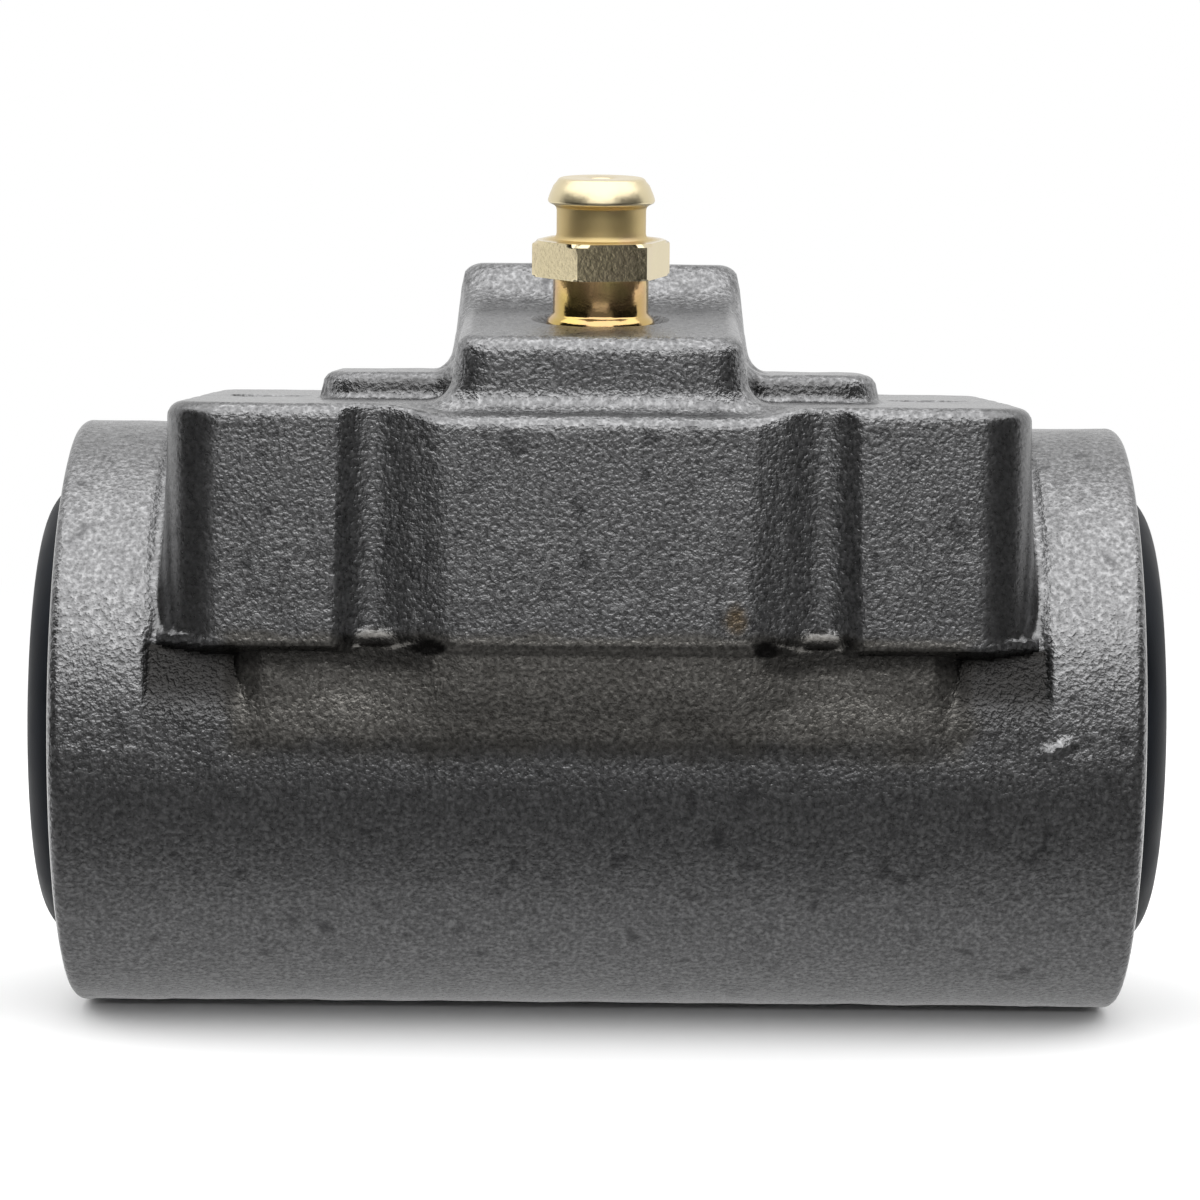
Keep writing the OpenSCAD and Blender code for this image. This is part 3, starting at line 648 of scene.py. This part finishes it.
def cast_iron():
    """Sand cast iron: a coarse grain of dark grey metal, smoother and browner where flash was
    ground off, and turned bright metal where the casting was machined. Painted shade darkens
    the pockets, creases, pits and holes, and the lobes' side-facing corners."""
    material, tree, shader, place = finish("cast_iron")
    bare, ground, painted_shade = (mark(tree, n) for n in ("bare_metal", "ground_flash", "painted_shade"))
    shaded_smooth_corner, stain = mark(tree, "shaded_smooth_corner"), mark(tree, "stain")
    grain = noise(tree, place, 2500, 2.0, 0.55)
    relief = ramp(tree, grain, [(0.32, 0.0), (0.68, 1.0)])
    pitted = ramp(tree, noise(tree, place, 420), [(0.62, 0.0), (0.74, 0.7)])

    grey = ramp(tree, grain, [(0.28, (0.12, 0.12, 0.122)), (0.5, (0.2, 0.2, 0.203)),
                              (0.74, (0.36, 0.36, 0.365))])
    brown = ramp(tree, grain, [(0.3, (0.1, 0.094, 0.084)), (0.55, (0.2, 0.19, 0.172)),
                               (0.8, (0.34, 0.325, 0.295))])
    colour = mix(tree, pitted, grey, (0.07, 0.07, 0.072, 1))
    colour = mix(tree, times(tree, ground, 0.8), colour, brown)
    # Painted shade on the lobes' side-facing corners.
    colour = mix(tree, times(tree, shaded_smooth_corner, 0.6), colour, (0.12, 0.12, 0.121, 1))
    colour = mix(tree, times(tree, stain, 0.6), colour, (0.17, 0.11, 0.04, 1))
    # Painted shade: near black wherever the painted shade mark is set.
    colour = mix(tree, painted_shade, colour, (0.02, 0.019, 0.018, 1))
    bright = ramp(tree, noise(tree, place, 600, 3.0),
                  [(0.3, (0.36, 0.36, 0.35)), (0.7, (0.5, 0.5, 0.49))])

    quiet = combine(tree, "MAXIMUM", times(tree, ground, 0.35), times(tree, shaded_smooth_corner, 0.7))
    cast = combine(tree, "SUBTRACT", 1.0, bare)
    lively = times(tree, combine(tree, "SUBTRACT", 1.0, quiet), cast)
    coarse = bump(tree, times(tree, relief, lively), 0.00005)
    rings = lathe_rings(tree, place, 900, 1.5)
    fine = bump(tree, times(tree, rings, bare), 0.00002, 0.5, Normal=coarse)

    coat(tree, shader,
         Base_Color=mix(tree, bare, colour, bright),
         Metallic=mix_value(tree, bare, 0.95, 1.0),
         Roughness=mix_value(tree, bare, mix_value(tree, grain, 0.22, 0.36), 0.32),
         Normal=fine)
    return material


def yellow_plating():
    """Zinc plating with a yellow chromate film, whose colour drifts from gold to pink and
    green, paler on the hexagon and the cap."""
    material, tree, shader, place = finish("yellow_plating")
    film = ramp(tree, noise(tree, place, 160), [
        (0.25, (0.5, 0.34, 0.1)), (0.45, (0.56, 0.41, 0.14)), (0.58, (0.54, 0.35, 0.17)),
        (0.75, (0.44, 0.4, 0.14)),
    ])
    film = mix(tree, times(tree, mark(tree, "paler"), 0.8), film, (0.74, 0.66, 0.46, 1))
    scratch = noise(tree, place, 2600, 3.0)
    polish = ramp(tree, scratch, [(0.3, 0.09), (0.75, 0.2)])
    shader.inputs["Metallic"].default_value = 1.0
    coat(tree, shader,
         Base_Color=film,
         Roughness=mix_value(tree, mark(tree, "matt"), polish, 0.5),
         Normal=bump(tree, scratch, 0.00002, 0.6))
    return material


def boot_rubber():
    """Black moulded rubber with a satin skin and a faint bloom."""
    material, tree, shader, place = finish("boot_rubber")
    bloom = noise(tree, place, 220, 4.0)
    shader.inputs["Specular IOR Level"].default_value = 0.1
    coat(tree, shader,
         Base_Color=ramp(tree, bloom, [(0.3, (0.003, 0.004, 0.006)), (0.75, (0.008, 0.01, 0.014))]),
         Roughness=ramp(tree, bloom, [(0.3, 0.42), (0.75, 0.56)]),
         Normal=bump(tree, noise(tree, place, 5200), 0.00002, 0.5))
    return material


def cup_rubber():
    """Moulded rubber of the cups, with a fine matt grain."""
    material, tree, shader, place = finish("cup_rubber")
    cloud = noise(tree, place, 400, 4.0)
    coat(tree, shader,
         Base_Color=ramp(tree, cloud, [(0.3, (0.014, 0.014, 0.015)), (0.7, (0.03, 0.03, 0.032))]),
         Roughness=ramp(tree, cloud, [(0.3, 0.5), (0.7, 0.62)]),
         Normal=bump(tree, noise(tree, place, 3000, 3.0), 0.00003, 0.6))
    return material


def turned_metal(name, low, high, rough, scale):
    """Metal turned round the bore's axis: fine rings over a slightly uneven colour."""
    material, tree, shader, place = finish(name)
    cloud = noise(tree, place, 300, 4.0)
    shader.inputs["Metallic"].default_value = 1.0
    coat(tree, shader,
         Base_Color=ramp(tree, cloud, [(0.3, low), (0.7, high)]),
         Roughness=ramp(tree, cloud, [(0.3, rough), (0.7, rough + 0.12)]),
         Normal=bump(tree, lathe_rings(tree, place, scale, 1.0), 0.00002, 0.6))
    return material


def give(obj, material):
    obj.data.materials.clear()
    obj.data.materials.append(material)


IRON = cast_iron()
PLATING = yellow_plating()
RUBBER = boot_rubber()
ALLOY = turned_metal("piston_alloy", (0.52, 0.53, 0.55), (0.66, 0.67, 0.69), 0.26, 1100)
SHEET = turned_metal("sheet_steel", (0.4, 0.4, 0.42), (0.56, 0.56, 0.58), 0.34, 700)
WIRE = turned_metal("spring_steel", (0.28, 0.28, 0.3), (0.42, 0.42, 0.44), 0.36, 500)
CUP = cup_rubber()

casting_points, casting_values = casting_grid()
casting = skin("casting", casting_points, wrap=True, marks=casting_values)
cut(casting, cutters())
give(casting, IRON)
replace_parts(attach(casting, "housing"), "cylinder_body")

screw_points, screw_values = screw_grid()
screw = skin("bleeder", screw_points, marks=screw_values, sharp=30.0)
give(screw, PLATING)
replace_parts(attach(screw, "bleeder"), "bleeder_screw")

for side, hand in ((-1, "left"), (1, "right")):
    boot = skin("dust_boot_" + hand, boot_grid(side), wrap=True)
    give(boot, RUBBER)
    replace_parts(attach(boot, "housing"), "boot_" + hand)
    spring = skin("spring_half_" + hand, spring_grid(side), sharp=60.0)
    give(spring, WIRE)
    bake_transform(spring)
    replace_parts(spring, "return_spring")
    give(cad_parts["piston_" + hand], ALLOY)
    give(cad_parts["cup_" + hand], CUP)
    give(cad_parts["cup_expander_" + hand], SHEET)


# The studio, in metres: where the floor, the glowing sheets that paint the reflections, the light
# and the camera are.
FLOOR_Z = (AXIS_Z - BARREL_R) * MM
FLOOR_GAP = 0.0003
FLOOR_REACH = [-12, -2, -0.5, 0, 0.5, 2, 12.0]
WHITE = (1, 1, 1, 1)
SCREEN_R, SCREEN_TURN, SCREEN_LOW, SCREEN_MORE = 0.6, 96, 0.2, 0.25
GLOW_FLOOR_HALF, GLOW_FLOOR_COLUMNS, GLOW_FLOOR_DARK = 0.58, 59, 0.04
# The floor sheet's glow, a painted reflection, as (distance before the bore's axis, tone).
GLOW_FLOOR_TONES = [
    (0.003, 0.6), (0.014, 0.5), (0.025, 0.4), (0.04, 0.13), (0.11, 0.05), (0.2, 0.1),
    (0.26, 0.6), (0.32, 1.0), (0.4, 0.6), (0.6, 0.3),
]


def sheet(name, grid):
    """An open sheet over a grid of points in metres, with a new empty material."""
    rows, columns = grid.shape[:2]
    index = np.arange(rows * columns).reshape(rows, columns)
    quads = np.stack([index[:-1, :-1], index[:-1, 1:], index[1:, 1:], index[1:, :-1]], -1)
    mesh = bpy.data.meshes.new(name)
    mesh.from_pydata(grid.reshape(-1, 3).tolist(), [], quads.reshape(-1, 4).tolist())
    obj = new_object(name, mesh)
    material = bpy.data.materials.new(name)
    material.use_nodes = True
    material.node_tree.nodes.clear()
    give(obj, material)
    return obj, material.node_tree


def floor():
    """A wide plain sheet of white paper under the barrel, which turns to even white far off."""
    x, y = np.meshgrid(FLOOR_REACH, FLOOR_REACH)
    _, tree = sheet("floor", np.stack([x, y, np.full(x.shape, FLOOR_Z - FLOOR_GAP)], -1))
    paper = add(tree, "ShaderNodeBsdfDiffuse", Color=(0.9, 0.9, 0.9, 1)).outputs[0]
    glow = add(tree, "ShaderNodeEmission", Color=WHITE, Strength=1.0).outputs[0]
    place = tree.nodes.new("ShaderNodeTexCoord").outputs["Object"]
    reach = add(tree, "ShaderNodeVectorMath", {"operation": "LENGTH"}, _0=place).outputs["Value"]
    far = add(tree, "ShaderNodeMapRange", {"interpolation_type": "SMOOTHSTEP"}, Value=reach,
              From_Min=0.15, From_Max=0.6, To_Min=0.0, To_Max=1.0).outputs[0]
    surface = add(tree, "ShaderNodeMixShader", _0=far, _1=paper, _2=glow).outputs[0]
    add(tree, "ShaderNodeOutputMaterial", Surface=surface)


def glow_sheet(name, grid, tone):
    """A sheet of the studio that glows with a tone for each point and paints the reflections: only
    glossy surfaces show it. It stays out of the picture and takes no light off the floor."""
    obj, tree = sheet(name, grid)
    point_values(obj.data, "tone", tone)
    glow = add(tree, "ShaderNodeEmission", Color=WHITE, Strength=mark(tree, "tone")).outputs[0]
    add(tree, "ShaderNodeOutputMaterial", Surface=glow)
    obj.visible_camera = obj.visible_diffuse = obj.visible_shadow = False


def painted_reflections():
    """Painted reflections: a glowing screen that stands round the front, grey in the middle and
    black to its sides, and a glowing sheet on the floor before the part, with a pale patch in its
    middle."""
    degrees, share = np.meshgrid(np.linspace(-SCREEN_TURN, SCREEN_TURN, 97), [0.0, 0.5, 1.0])
    turn = np.radians(degrees)
    side = ease(24, 32, np.abs(degrees))
    height = FLOOR_Z + share * (SCREEN_LOW + SCREEN_MORE * side)
    screen = np.stack([SCREEN_R * np.sin(turn), -SCREEN_R * np.cos(turn), height], -1)
    glow_sheet("front_glow_screen", screen, 0.012 + 0.2 * (1 - side))
    away, tone = np.array(GLOW_FLOOR_TONES).T
    x, y = np.meshgrid(np.linspace(-GLOW_FLOOR_HALF, GLOW_FLOOR_HALF, GLOW_FLOOR_COLUMNS), -away)
    aside = ease(14, 22, np.degrees(np.abs(np.arctan2(x, -y)))) * ease(0.15, 0.25, -y)
    tone = tone[:, None] * (1 - aside) + GLOW_FLOOR_DARK * aside
    glow_sheet("floor_glow_sheet", np.stack([x, y, np.full(x.shape, FLOOR_Z)], -1), tone)


def surroundings():
    """A plain white room all round."""
    world = bpy.data.worlds.new("studio")
    bpy.context.scene.world = world
    world.use_nodes = True
    world.cycles.sampling_method = "NONE"
    tree = world.node_tree
    tree.nodes.clear()
    white = add(tree, "ShaderNodeBackground", Color=WHITE, Strength=1.0).outputs[0]
    add(tree, "ShaderNodeOutputWorld", Surface=white)


def softbox(name, place, aim, size, power):
    """A rectangular soft light at a place, turned to a point."""
    light = bpy.data.lights.new(name, "AREA")
    light.shape, light.size, light.size_y, light.energy = "RECTANGLE", size[0], size[1], power
    obj = new_object(name, light)
    way = np.subtract(aim, place)
    flat = math.hypot(way[0], way[1])
    obj.location = place
    obj.rotation_euler = (math.pi / 2 + math.atan2(way[2], flat), 0, math.atan2(-way[0], way[1]))


def camera():
    """Looks along +Y from in front, a little from above, with the photo's narrow view."""
    lens = bpy.data.cameras.new("camera")
    lens.sensor_width = 36.0
    lens.lens = 130.1
    lens.clip_start, lens.clip_end = 0.01, 50
    obj = new_object("camera", lens)
    obj.location = (0, -0.4042, 0.0091)
    pitch, roll, yaw = math.radians(90 - 3.96), math.radians(0.5), math.radians(-0.026)
    obj.rotation_euler = (
        Euler((pitch, 0, yaw)).to_matrix() @ Euler((0, 0, roll)).to_matrix()
    ).to_euler()
    bpy.context.scene.camera = obj


floor()
painted_reflections()
surroundings()
softbox("top_light", place=(0, -0.65, 0.6), aim=(0, -0.649, 0), size=(1.8, 1.7), power=12.0)
camera()
bpy.context.scene.view_settings.view_transform = "Standard"
